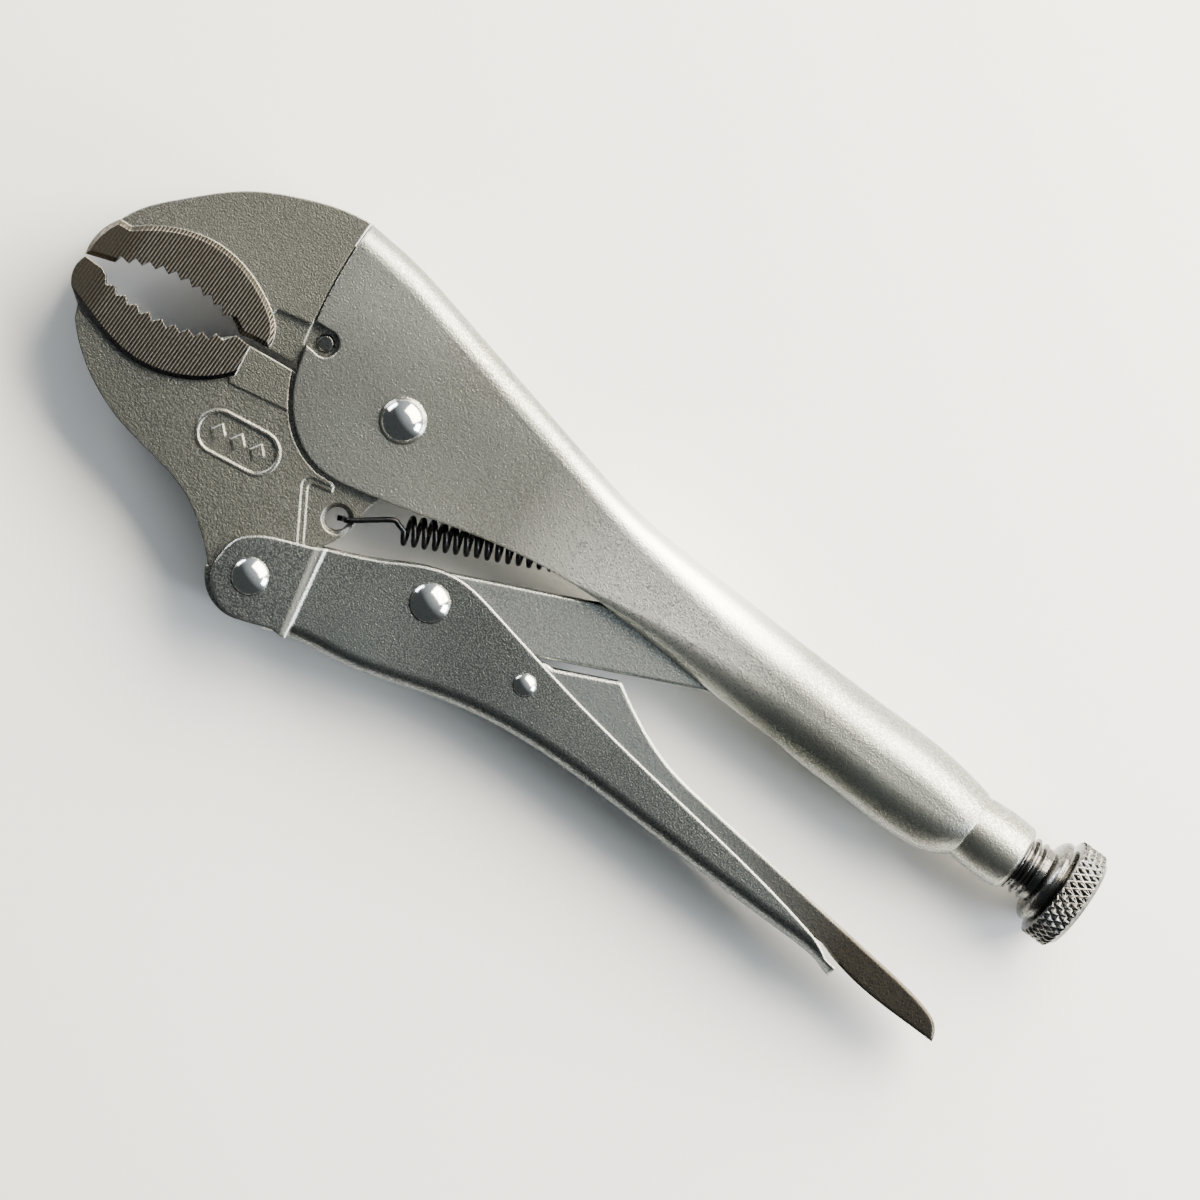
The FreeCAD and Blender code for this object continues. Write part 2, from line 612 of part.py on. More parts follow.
def lever_handle():
    body = new_body("lever_handle")
    handle_loft(body, "AdditiveLoft", "skin", 0.0, LEVER_SECTIONS)
    walls = new_sketch(body, "above_walls")
    draw(walls, (1.0, -32.0),
         ("curve", [(2.6, -31.3)] + LEVER_TOP),
         ("curve", [(136.8, -38.5), (139.6, -40.1)]),
         ("lines", [(150.0, -41.4), (150.0, -5.0), (-10.0, -5.0), (-10.0, -60.0),
                    (2.0, -60.0), (1.6, -51.9)]))
    pocket(body, walls)
    # the front ears stand further apart than the channel behind the joggle
    ears = new_sketch(body, "ears")
    draw(ears, EAR_FRONT[0],
         ("curve", EAR_FRONT[1:]),
         ("lines", [(6.6, -51.8), (3.0, -51.7)]),
         ("curve", [(-1.1, -53.2), (-6.3, -54.4), (-12.6, -51.6), (-14.7, -45.0)]))
    pad(body, ears, "sizes.lever_front_gap + sizes.lever_sheet")
    between_ears = new_sketch(body, "between_ears")
    draw(between_ears, (-20.0, -25.0), ("lines", [(2.6, -25.0), (5.4, -57.0), (-20.0, -57.0)]))
    pocket(body, between_ears, "sizes.lever_front_gap")
    before = body_volume(body)
    first = (-2.0,) + LEVER_SECTIONS[0][1:]
    last = (146.0, -15.0, -43.7) + LEVER_SECTIONS[-1][3:]
    handle_loft(body, "SubtractiveLoft", "hollow", size("lever_sheet"),
                [first] + LEVER_SECTIONS[1:-1] + [last])
    if body_volume(body) > 0.8 * before:
        raise RuntimeError("the lever handle isn't hollow")
    drill(body, "lug_hole", "lug_x", "lug_y", "sizes.lug_shank + sizes.fit")
    drill(body, "link_hole", "link_x", "link_y", "sizes.link_shank + sizes.fit")
    drill(body, "trigger_hole", "trigger_x", "trigger_y", "sizes.trigger_shank + sizes.fit")
    return body


# ---------------------------------------------------------------- toggle link
LINK_TAIL = -13.0
LINK_REACH = 69.5


def toggle_link():
    body = new_body("toggle_link")
    turn = Rotation(Vector(0, 0, 1), size("link_angle"))
    half = size("link_half_width")

    def at(along, across):
        spot = turn.multVec(Vector(along, across, 0))
        return size("link_x") + spot.x, size("link_y") + spot.y

    corner = 4.0
    outline = new_sketch(body, "outline")
    draw(outline, at(LINK_TAIL, 0.0),
         ("lines", [at(LINK_TAIL, half - corner)]),
         ("arc", [at(LINK_TAIL + 0.29 * corner, half - 0.29 * corner),
                  at(LINK_TAIL + corner, half)]),
         ("lines", [at(LINK_REACH - half, half)]),
         ("arc", [at(LINK_REACH, 0.0), at(LINK_REACH - half, -half)]),
         ("lines", [at(LINK_TAIL + corner, -half)]),
         ("arc", [at(LINK_TAIL + 0.29 * corner, -half + 0.29 * corner),
                  at(LINK_TAIL, -half + corner)]))
    plate = pad(body, outline, "sizes.link_half")
    dress(body, "Fillet", plate, "0.7", long_edge_at(size("link_half"), 1.0))
    drill(body, "link_hole", "link_x", "link_y", "sizes.link_shank + sizes.fit")
    return body


# ---------------------------------------------------------------- release lever
TRIGGER_TOP = [(70.9, -18.3), (80.0, -23.1), (88.0, -26.1), (100.0, -28.1), (120.0, -30.5),
               (150.0, -34.0), (162.3, -35.9), (166.8, -37.7), (168.9, -41.3)]
TRIGGER_LOW = [(163.3, -41.2), (150.0, -40.7), (138.0, -37.9)]
TRIGGER_FLOOR = [(110.0, -37.3), (80.0, -36.6), (62.0, -35.6)]


def release_lever():
    body = new_body("release_lever")
    outline = new_sketch(body, "outline")
    draw(outline, (56.5, -24.0),
         ("lines", [(69.0, -18.3)]),
         ("arc", [(70.1, -17.9), TRIGGER_TOP[0]]),
         ("curve", TRIGGER_TOP[1:]),
         ("curve", TRIGGER_LOW),
         ("curve", TRIGGER_FLOOR),
         ("curve", [(53.4, -34.7), (49.4, -31.6), (50.6, -27.0), (56.5, -24.0)]))
    pad(body, outline, "sizes.trigger_outer")
    inside = new_sketch(body, "inside")
    web = size("trigger_outer") - size("trigger_inner")
    draw(inside, (45.0, -10.0),
         ("lines", [(172.0, -10.0), (172.0, -36.0), (167.0, -38.9)]),
         ("curve", [(162.5, -39.3), (150.0, -38.9), (138.0, -37.9 + web)]),
         ("curve", [(x, y + web) for x, y in TRIGGER_FLOOR]),
         ("lines", [(60.0, -40.0), (45.0, -40.0)]))
    pocket(body, inside, "sizes.trigger_inner")
    drill(body, "trigger_hole", "trigger_x", "trigger_y", "sizes.trigger_shank + sizes.fit")
    return body


# ---------------------------------------------------------------- rivets and pins
def rivet(label, x, y, shank, head, dome, seat):
    """A shank between two domed heads that sit at +seat and -seat."""
    middle = Vector(size(x), size(y), 0) if x else Vector(0, 0, 0)
    pin = doc.addObject("Part::Cylinder", label + "_shank")
    pin.setExpression("Radius", f"sizes.{shank}")
    pin.setExpression("Height", f"2 * ({seat})")
    pin.setExpression("Placement.Base.z", f"-({seat})")
    ball = f"((sizes.{head} ^ 2 + sizes.{dome} ^ 2) / (2 * sizes.{dome}))"
    heads = []
    for side, turned in ((1, 0), (-1, 180)):
        cap = doc.addObject("Part::Sphere", f"{label}_head{side + 1}")
        cap.Placement = Placement(Vector(0, 0, 0), Rotation(Vector(1, 0, 0), turned))
        cap.setExpression("Radius", ball)
        cap.setExpression("Angle1", f"asin(({ball} - sizes.{dome}) / {ball})")
        cap.setExpression("Placement.Base.z", f"{side} * ({seat} + sizes.{dome} - {ball})")
        heads.append(cap)
    whole = doc.addObject("Part::MultiFuse", label)
    whole.Label = label
    whole.Shapes = [pin] + heads
    whole.Placement.Base = middle
    return whole


def dowel_pin():
    body = new_body("jaw_dowel_pin")
    sketch = new_sketch(body, "round")
    draw_circle(sketch, "dowel_x", "dowel_y", "sizes.dowel_radius")
    pin = pad(body, sketch, "sizes.dowel_half")
    dress(body, "Chamfer", pin, "0.35", long_edge_at(size("dowel_half"), 1.0))
    return body


# ---------------------------------------------------------------- adjusting screw
def adjusting_screw():
    """Rod, thread and knob turned in one piece; the thread's ridges are rings."""
    body = new_body("adjusting_screw")
    profile = new_sketch(body, "profile")
    axis_y = size("screw_y")
    tip = size("screw_tip")
    end = size("thread_end")
    pitch = size("thread_pitch")
    root = size("root_radius")
    crest = size("crest_radius")
    hub = size("hub_round")
    collar = size("collar_start")
    flare = size("collar_radius")
    band = size("knob_start")
    knob = size("knob_radius")
    face = size("knob_end")
    bevel = size("knob_bevel")
    points = [(tip, 3.6), (tip + 2.0, root)]
    turns = int((end - tip - 2.4) / pitch)
    first = end - turns * pitch
    for turn in range(turns):
        points += [(first + turn * pitch, root), (first + (turn + 0.4) * pitch, crest),
                   (first + (turn + 0.6) * pitch, crest)]
    points += [(end, root), (end, hub), (collar - 0.1, hub), (collar + 0.1, hub + 1.0)]

    def raised(spots):
        return [(x, axis_y + radius) for x, radius in spots]

    draw(profile, (tip, axis_y),
         ("lines", raised(points)),
         ("arc", raised([(collar + 0.5, flare - 1.0), (collar + 1.6, flare)])),
         ("lines", raised([(band - 0.9, flare), (band - 0.5, flare - 1.1), (band, flare - 0.9),
                           (band + 0.4, knob - 0.8), (band + 1.0, knob),
                           (face - bevel, knob), (face, knob - bevel), (face, 0.0)])))
    axis = profile.addGeometry(
        Part.LineSegment(Vector(tip, axis_y, 0), Vector(face, axis_y, 0)), True)
    profile.addConstraint(Sketcher.Constraint("Block", axis))
    turned = body.newObject("PartDesign::Revolution", "turned")
    turned.Profile = profile
    turned.ReferenceAxis = (profile, ["Axis0"])
    turned.Angle = 360
    body.Tip = turned
    return body


# ---------------------------------------------------------------- spring
def bent_wire(points, radius):
    """Straight round wires with a ball at each bend."""
    pieces = []
    for start, end in zip(points, points[1:]):
        run = end - start
        pieces.append(Part.makeCylinder(radius, run.Length, start, run))
    for spot in points:
        pieces.append(Part.makeSphere(1.03 * radius, spot))
    return pieces


def jaw_spring():
    """A tension spring in its own frame: Z from the jaw's hole to the handle's tab."""
    wire = size("wire_radius")
    coil = size("coil_radius")
    start = size("coil_start")
    length = size("coil_length")
    spine = Part.makeHelix(size("coil_pitch"), length, coil)
    ring = Part.Wire(Part.makeCircle(wire, Vector(coil, 0, 0), Vector(0, 1, 0)))
    coils = Part.Wire(spine.Edges).makePipeShell([ring], True, True)
    coils.translate(Vector(0, 0, start))
    jaw_side = size("hub_half") + wire + 0.1
    pull = size("hole_radius") - wire - 0.05
    near = [Vector(-jaw_side, 0, pull - 2.6), Vector(-jaw_side, 0, pull),
            Vector(jaw_side, 0, pull), Vector(jaw_side, -1.6, start - 3.0),
            Vector(coil + 0.4, -1.2, start - 1.6), Vector(coil, 0, start)]
    reach = math.hypot(size("anchor_x") - size("hole_x"), size("anchor_y") - size("hole_y"))
    tab_side = size("sheet") / 2 + wire + 0.15
    far_pull = reach - wire + 0.05
    far = [Vector(coil, 0, start + length), Vector(tab_side, 0, start + length + 2.0),
           Vector(tab_side, 0, far_pull), Vector(-tab_side, 0, far_pull),
           Vector(-tab_side, 0, far_pull - 2.2)]
    spring = doc.addObject("Part::Feature", "jaw_spring")
    spring.Label = "jaw_spring"
    shape = coils
    for piece in bent_wire(near, wire) + bent_wire(far, wire):
        shape = shape.fuse(piece)
    if shape.Volume < coils.Volume or len(shape.Solids) != 1:
        raise RuntimeError("the spring lost its coils")
    spring.Shape = shape
    rise = math.atan2(size("anchor_y") - size("hole_y"), size("anchor_x") - size("hole_x"))
    upright = Rotation(Vector(0, 0, 1), Vector(math.sin(rise), -math.cos(rise), 0),
                       Vector(math.cos(rise), math.sin(rise), 0), "XYZ")
    spring.Placement = Placement(Vector(size("hole_x"), size("hole_y"), 0), upright)
    return spring


# ---------------------------------------------------------------- assembly
cheek_face = "sizes.cheek_gap + sizes.sheet + sizes.head_gap"
ear_face = "sizes.lever_front_gap + sizes.lever_sheet + sizes.head_gap"
wall_face = "sizes.lever_rear_gap + sizes.lever_sheet + sizes.head_gap"
sub_parts = [
    fixed_handle(),
    fixed_jaw(),
    dowel_pin(),
    movable_jaw(),
    lever_handle(),
    toggle_link(),
    release_lever(),
    rivet("main_pivot_rivet", None, None, "pivot_radius", "pivot_head", "pivot_dome", cheek_face),
    rivet("jaw_lever_rivet", "lug_x", "lug_y", "lug_shank", "lug_head", "lug_dome", ear_face),
    rivet("link_rivet", "link_x", "link_y", "link_shank", "link_head", "link_dome", wall_face),
    rivet("release_rivet", "trigger_x", "trigger_y", "trigger_shank", "trigger_head",
          "trigger_dome", wall_face),
    jaw_spring(),
    adjusting_screw(),
]
doc.recompute()

# the origin goes under the middle of the tool
whole = FreeCAD.BoundBox()
for part in sub_parts:
    whole.add(part.Shape.optimalBoundingBox(False, False))
to_middle = Vector(-whole.Center.x, -whole.Center.y, -whole.ZMin)
for part in sub_parts:
    part.Placement.Base = part.Placement.Base + to_middle
doc.recompute()
print("pivot at", to_middle, "size", whole.XLength, whole.YLength, whole.ZLength)

for item in doc.Objects:
    if "Invalid" in item.State or "Error" in item.State:
        raise RuntimeError(f"{item.Name} failed: {item.State}")
os.makedirs("parts", exist_ok=True)
for part in sub_parts:
    if part.Shape.isNull() or not part.Shape.isValid():
        raise RuntimeError(f"{part.Label} has no valid shape")
    print(part.Label, len(part.Shape.Solids), round(part.Shape.Volume))
    part.Shape.exportStep(f"parts/{part.Label}.step")
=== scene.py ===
# %% [markdown]
# # Locking pliers, laid on a table
# This notebook dresses the working model of a pair of locking pliers. The model gives
# every part its true shape and place; here each steel gets its finish, and the few parts
# whose look is in small cut detail (the knurled screw and the wire spring) are remade.
# All lengths are in metres. MM turns millimetres into them, so 1.6 * MM reads as 1.6 mm.

# %% Load the frame
import bpy, bmesh, json, math
from mathutils import Matrix, Vector


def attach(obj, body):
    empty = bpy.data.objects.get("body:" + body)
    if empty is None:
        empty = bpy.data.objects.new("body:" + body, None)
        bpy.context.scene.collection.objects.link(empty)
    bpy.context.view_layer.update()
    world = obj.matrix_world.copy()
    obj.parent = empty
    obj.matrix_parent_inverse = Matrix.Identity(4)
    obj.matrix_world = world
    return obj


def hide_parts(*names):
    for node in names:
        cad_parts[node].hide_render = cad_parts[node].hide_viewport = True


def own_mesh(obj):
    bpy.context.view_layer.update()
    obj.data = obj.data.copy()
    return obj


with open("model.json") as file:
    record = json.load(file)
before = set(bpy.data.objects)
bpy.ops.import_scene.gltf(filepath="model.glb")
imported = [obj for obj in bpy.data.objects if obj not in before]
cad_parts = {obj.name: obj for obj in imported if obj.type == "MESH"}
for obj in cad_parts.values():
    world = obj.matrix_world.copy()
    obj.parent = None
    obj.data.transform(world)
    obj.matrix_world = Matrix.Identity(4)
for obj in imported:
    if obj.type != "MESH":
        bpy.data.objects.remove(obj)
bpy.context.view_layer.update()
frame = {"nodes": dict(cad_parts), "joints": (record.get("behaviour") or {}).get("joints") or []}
nodes = frame["nodes"]
joints = {joint["name"]: joint for joint in frame["joints"]}
MM = 0.001
TINY = 1e-6
print("nodes:", sorted(nodes))

# %% [markdown]
# ## Where things are
# The main rivet is the middle of the tool: the jaw's joint gives its place. Every part
# was drawn around it, so a helper turns "so many millimetres along and above the main
# rivet" into a place in the scene.

# %% Places measured from the main rivet
PIVOT = Vector(joints["jaw_pivot"]["pos_m"])
SCREW_AXIS = Vector(joints["screw_turn"]["pos_m"])


def at(x, y, z=0.0):
    """A place given in millimetres from the main rivet, half-way through the tool."""
    return PIVOT + Vector((x, y, z)) * MM


print("main rivet at", tuple(round(v, 4) for v in PIVOT))

# %% [markdown]
# ## Shared shader groups
# Three effects come back in several steels, so each is a node group that is built once:
# blasted grain, a painted highlight along edges, and slow tarnish.
# A group is a little material of its own: sockets on the outside, nodes on the inside.

# %% A helper that makes an empty group with named sockets


def new_group(name, inputs, outputs):
    """A shader group; inputs and outputs are (name, kind, default) rows."""
    group = bpy.data.node_groups.new(name, "ShaderNodeTree")
    for title, kind, default in inputs:
        socket = group.interface.new_socket(title, in_out="INPUT", socket_type=kind)
        if default is not None:
            socket.default_value = default
    for title, kind, _ in outputs:
        group.interface.new_socket(title, in_out="OUTPUT", socket_type=kind)
    group.nodes.new("NodeGroupInput")
    group.nodes.new("NodeGroupOutput")
    return group


def group_ends(group):
    """The group's own input and output nodes."""
    return group.nodes["Group Input"], group.nodes["Group Output"]


def node(tree, kind, **settings):
    """A node with its settings; a key that names a socket sets that socket."""
    made = tree.nodes.new("ShaderNode" + kind)
    for key, value in settings.items():
        if hasattr(made, key):
            setattr(made, key, value)
        else:
            made.inputs[key.replace("_", " ")].default_value = value
    return made


def ramp(tree, source, low, high, dark=0.0, light=1.0):
    """Maps source from low..high to dark..light, without going past them."""
    made = node(tree, "MapRange", clamp=True)
    made.inputs["From Min"].default_value = low
    made.inputs["From Max"].default_value = high
    made.inputs["To Min"].default_value = dark
    made.inputs["To Max"].default_value = light
    tree.links.new(source, made.inputs["Value"])
    return made.outputs["Result"]


def maths(tree, operation, first, second):
    """One arithmetic step; first and second are sockets or plain numbers."""
    made = node(tree, "Math", operation=operation)
    for socket, value in zip(made.inputs, (first, second)):
        if isinstance(value, (int, float)):
            socket.default_value = value
        else:
            tree.links.new(value, socket)
    return made.outputs[0]


# %% [markdown]
# ### Blasted grain
# Steel that is shot-blasted before plating is covered in tiny dents a few tenths of a
# millimetre across. Two noise patterns, one fine and one about three times coarser,
# added together look right; the sum is used for colour, for gloss and as a bump.

# %% Group: blasted grain
COARSER = 0.34
SPECK_RANGE = (0.58, 0.80)


def make_grain():
    group = new_group("blasted_grain",
                      [("Vector", "NodeSocketVector", None),
                       ("Size", "NodeSocketFloat", 2600.0),
                       ("Coarse", "NodeSocketFloat", 0.4)],
                      [("Height", "NodeSocketFloat", None),
                       ("Speck", "NodeSocketFloat", None)])
    start, end = group_ends(group)
    fine = node(group, "TexNoise", Detail=2.0, Roughness=0.6)
    coarse = node(group, "TexNoise", Detail=3.0, Roughness=0.65)
    group.links.new(start.outputs["Vector"], fine.inputs["Vector"])
    group.links.new(start.outputs["Vector"], coarse.inputs["Vector"])
    group.links.new(start.outputs["Size"], fine.inputs["Scale"])
    slower = maths(group, "MULTIPLY", start.outputs["Size"], COARSER)
    group.links.new(slower, coarse.inputs["Scale"])
    share = maths(group, "MULTIPLY", coarse.outputs["Fac"], start.outputs["Coarse"])
    height = maths(group, "ADD", fine.outputs["Fac"], share)
    group.links.new(height, end.inputs["Height"])
    group.links.new(ramp(group, height, *SPECK_RANGE), end.inputs["Speck"])
    return group


GRAIN = make_grain()

# %% [markdown]
# ### Painted edge highlights
# A Bevel node returns the normal that a rounded edge would have. Where it differs from
# the true normal there is an edge, and that difference is the mask; the steels use it to
# paint a lighter colour along edges as a highlight. The rounded normal is passed on too,
# so that sharp sheet edges catch the light as real, slightly dulled ones do.

# %% Group: painted edge highlights
EDGE_HIGHLIGHT_RANGE = (0.995, 0.8)


def make_edge_highlights():
    group = new_group("painted_edge_highlights",
                      [("Width", "NodeSocketFloat", 0.6 * MM)],
                      [("Mask", "NodeSocketFloat", None),
                       ("Normal", "NodeSocketVector", None)])
    start, end = group_ends(group)
    rounded = node(group, "Bevel", samples=6)
    group.links.new(start.outputs["Width"], rounded.inputs["Radius"])
    true = node(group, "NewGeometry")
    dot = node(group, "VectorMath", operation="DOT_PRODUCT")
    group.links.new(rounded.outputs["Normal"], dot.inputs[0])
    group.links.new(true.outputs["Normal"], dot.inputs[1])
    group.links.new(ramp(group, dot.outputs["Value"], *EDGE_HIGHLIGHT_RANGE), end.inputs["Mask"])
    group.links.new(rounded.outputs["Normal"], end.inputs["Normal"])
    return group


EDGE_HIGHLIGHTS = make_edge_highlights()

# %% [markdown]
# ### Tarnish
# Plating is never one colour: it yellows in some places and goes a cold blue-grey in
# others, over a centimetre or two. A slow noise gives the mask for that. A slower, smoother
# one is the height of a pressed sheet's faint waves, which make flat steel shade unevenly.

# %% Group: tarnish
CLOUD_RANGE = (0.35, 0.68)


def make_tarnish():
    group = new_group("tarnish",
                      [("Vector", "NodeSocketVector", None),
                       ("Size", "NodeSocketFloat", 45.0)],
                      [("Mask", "NodeSocketFloat", None),
                       ("Wave", "NodeSocketFloat", None)])
    start, end = group_ends(group)
    swell = node(group, "TexNoise", Scale=26.0, Detail=0.0)
    group.links.new(start.outputs["Vector"], swell.inputs["Vector"])
    group.links.new(swell.outputs["Fac"], end.inputs["Wave"])
    cloud = node(group, "TexNoise", Detail=4.0, Roughness=0.55, Distortion=0.3)
    group.links.new(start.outputs["Vector"], cloud.inputs["Vector"])
    group.links.new(start.outputs["Size"], cloud.inputs["Scale"])
    group.links.new(ramp(group, cloud.outputs["Fac"], *CLOUD_RANGE), end.inputs["Mask"])
    return group


TARNISH = make_tarnish()
print("groups:", [group.name for group in bpy.data.node_groups])

# %% [markdown]
# ## The steels
# Every steel starts from the same recipe: object coordinates go into the grain and
# tarnish groups, their masks mix the colours and the gloss, and a bump carries the
# grain. What differs is how coarse the grain is, how dark it is and how much it shines.

# %% The steel recipe
# The second share is how strongly a highlight is painted along edges; the third is how much glossier edges
# are.
TINT_SHARE, EDGE_HIGHLIGHT_SHARE, EDGE_GLOSS = 0.5, 0.8, 0.08


def place_group(tree, group, **settings):
    """The group as a node in a material, with its own values."""
    made = tree.nodes.new("ShaderNodeGroup")
    made.node_tree = group
    for key, value in settings.items():
        made.inputs[key].default_value = value
    return made


def blend_colours(tree, mask, low, high):
    """low where the mask is 0 and high where it is 1; each is a socket or a colour."""
    made = node(tree, "Mix", data_type="RGBA")
    tree.links.new(mask, made.inputs["Factor"])
    for socket, value in ((made.inputs[6], low), (made.inputs[7], high)):
        if isinstance(value, tuple):
            socket.default_value = (*value, 1.0)
        else:
            tree.links.new(value, socket)
    return made.outputs[2]


def steel(name, dark, light, tint, edge, rough, size, coarse, bump, width=0.6 * MM,
          wave=0.0):
    """A plated, blasted steel. dark, light and tint are colours, and edge is the colour of
    the highlight painted along edges; rough is the (smooth, rough) pair of the grain's tops
    and pits; bump is the grain's depth, width that of the painted edge highlights, and wave
    the height of the sheet's slow waves."""
    material = bpy.data.materials.new(name)
    material.use_nodes = True
    tree = material.node_tree
    shader = tree.nodes["Principled BSDF"]
    shader.inputs["Metallic"].default_value = 1.0
    place = node(tree, "TexCoord").outputs["Object"]
    grain = place_group(tree, GRAIN, Size=size, Coarse=coarse)
    cloud = place_group(tree, TARNISH)
    edge_highlight = place_group(tree, EDGE_HIGHLIGHTS, Width=width)
    tree.links.new(place, grain.inputs["Vector"])
    tree.links.new(place, cloud.inputs["Vector"])
    plain = blend_colours(tree, grain.outputs["Speck"], dark, light)
    tinted = blend_colours(tree, maths(tree, "MULTIPLY", cloud.outputs["Mask"], TINT_SHARE),
                           plain, tint)
    # painted highlight: the lighter edge colour is mixed in along edges, where they would catch the light
    edge_lit = blend_colours(tree, maths(tree, "MULTIPLY", edge_highlight.outputs["Mask"], EDGE_HIGHLIGHT_SHARE),
                         tinted, edge)
    tree.links.new(edge_lit, shader.inputs["Base Color"])
    gloss = ramp(tree, grain.outputs["Speck"], 0.0, 1.0, rough[1], rough[0])
    worn_gloss = maths(tree, "SUBTRACT", gloss,
                       maths(tree, "MULTIPLY", edge_highlight.outputs["Mask"], EDGE_GLOSS))
    tree.links.new(worn_gloss, shader.inputs["Roughness"])
    dents = node(tree, "Bump", Strength=1.0, Distance=bump)
    tree.links.new(grain.outputs["Height"], dents.inputs["Height"])
    swell = node(tree, "Bump", Strength=1.0, Distance=wave)
    tree.links.new(cloud.outputs["Wave"], swell.inputs["Height"])
    tree.links.new(edge_highlight.outputs["Normal"], swell.inputs["Normal"])
    tree.links.new(swell.outputs["Normal"], dents.inputs["Normal"])
    tree.links.new(dents.outputs["Normal"], shader.inputs["Normal"])
    return material


# %% The finishes of the sheet parts and the forgings
HANDLE = steel("satin_handle", dark=(0.22, 0.22, 0.20), light=(0.60, 0.59, 0.53),
               tint=(0.38, 0.41, 0.39), edge=(0.78, 0.74, 0.64),
               rough=(0.26, 0.38), size=2500.0, coarse=0.3, bump=0.09 * MM, width=0.6 * MM, wave=3.5 * MM)
LEVER = steel("satin_lever", dark=(0.06, 0.067, 0.068), light=(0.34, 0.352, 0.35),
              tint=(0.12, 0.138, 0.142), edge=(0.80, 0.80, 0.76),
              rough=(0.25, 0.40), size=2600.0, coarse=0.25, bump=0.1 * MM, width=0.9 * MM, wave=3.0 * MM)
TRIGGER = steel("folded_release", dark=(0.22, 0.235, 0.235), light=(0.60, 0.62, 0.61),
                tint=(0.34, 0.36, 0.36), edge=(0.85, 0.83, 0.76),
                rough=(0.20, 0.34), size=2600.0, coarse=0.25, bump=0.07 * MM, width=1.2 * MM, wave=2.0 * MM)
FORGING = steel("blasted_forging", dark=(0.09, 0.091, 0.084), light=(0.34, 0.34, 0.312),
                tint=(0.16, 0.163, 0.145), edge=(0.46, 0.45, 0.41),
                rough=(0.28, 0.42), size=2600.0, coarse=0.3, bump=0.11 * MM, width=0.5 * MM, wave=0.8 * MM)
PLATE = steel("link_plate", dark=(0.20, 0.212, 0.208), light=(0.60, 0.62, 0.60),
              tint=(0.33, 0.355, 0.35), edge=(0.78, 0.77, 0.72),
              rough=(0.26, 0.38), size=2500.0, coarse=0.3, bump=0.07 * MM, width=0.6 * MM, wave=2.0 * MM)
RIVET = steel("polished_rivet", dark=(0.58, 0.58, 0.56), light=(0.76, 0.75, 0.73),
              tint=(0.58, 0.56, 0.50), edge=(0.85, 0.85, 0.83),
              rough=(0.10, 0.16), size=1400.0, coarse=0.6, bump=0.01 * MM)
TURNED = steel("turned_steel", dark=(0.07, 0.07, 0.068), light=(0.20, 0.198, 0.19),
               tint=(0.115, 0.115, 0.12), edge=(0.46, 0.45, 0.43),
               rough=(0.16, 0.28), size=1800.0, coarse=0.4, bump=0.02 * MM, width=0.3 * MM)
WIRE = steel("black_wire", dark=(0.010, 0.010, 0.011), light=(0.05, 0.05, 0.052),
             tint=(0.02, 0.02, 0.02), edge=(0.14, 0.14, 0.14),
             rough=(0.26, 0.40), size=3000.0, coarse=0.4, bump=0.02 * MM, width=0.2 * MM)
print("materials:", [material.name for material in bpy.data.materials])

# %% [markdown]
# ### The crease behind the lever handle's ears
# The handle's ears are pressed outwards, and the sheet steps in again behind them along a
# straight crease. Where that bend would catch the light, a bright line is painted as a
# highlight. In object coordinates a straight line is a dot product: the distance from the
# line, folded with ABSOLUTE, is a soft mask for the painted highlight.

# %% Paint the crease's highlight onto the lever's steel
CREASE_TOP, CREASE_LOW = at(1.1, -32.2), at(5.8, -51.7)
CREASE_HALF, CREASE_CORE = 0.9 * MM, 0.18 * MM
CREASE_HIGHLIGHT_SHARE, CREASE_HIGHLIGHT = 0.45, (0.86, 0.87, 0.84)


def paint_crease_highlight(material):
    tree = material.node_tree
    shader = tree.nodes["Principled BSDF"]
    place = tree.nodes["Texture Coordinate"].outputs["Object"]
    along = (CREASE_LOW - CREASE_TOP).normalized()
    across = Vector((-along.y, along.x, 0.0))
    dot = node(tree, "VectorMath", operation="DOT_PRODUCT")
    tree.links.new(place, dot.inputs[0])
    dot.inputs[1].default_value = across
    away = maths(tree, "SUBTRACT", dot.outputs["Value"], across.dot(CREASE_TOP))
    near = ramp(tree, maths(tree, "ABSOLUTE", away, 0.0), CREASE_HALF, CREASE_CORE)
    colour = shader.inputs["Base Color"].links[0].from_socket
    # painted highlight: a pale steel colour mixed in along the crease
    crease_lit = blend_colours(tree, maths(tree, "MULTIPLY", near, CREASE_HIGHLIGHT_SHARE), colour,
                             CREASE_HIGHLIGHT)
    tree.links.new(crease_lit, shader.inputs["Base Color"])


paint_crease_highlight(LEVER)
print("crease pressed into", LEVER.name)

# %% [markdown]
# The release lever goes darker and browner towards its tip. A ramp along the tool, from
# grey to the brown, is enough.

# %% Darken the release lever's tip
TIP_FADE = (at(92.0, 0).x, at(142.0, 0).x)
TIP_BROWN, TIP_SHARE = (0.055, 0.044, 0.030), 0.9


def fade_tip(material):
    tree = material.node_tree
    shader = tree.nodes["Principled BSDF"]
    parts = node(tree, "SeparateXYZ")
    tree.links.new(tree.nodes["Texture Coordinate"].outputs["Object"], parts.inputs["Vector"])
    fade = ramp(tree, parts.outputs["X"], *TIP_FADE, 0.0, TIP_SHARE)
    colour = shader.inputs["Base Color"].links[0].from_socket
    tree.links.new(blend_colours(tree, fade, colour, TIP_BROWN), shader.inputs["Base Color"])


fade_tip(TRIGGER)
print("brown tip on", TRIGGER.name)

# %% [markdown]
# The handle's uneven brightness is painted into its colour: painted shade darkens it round
# its front ears, and a painted sheen brightens it where the cheeks close into the tube and
# the sheet bends towards the light.

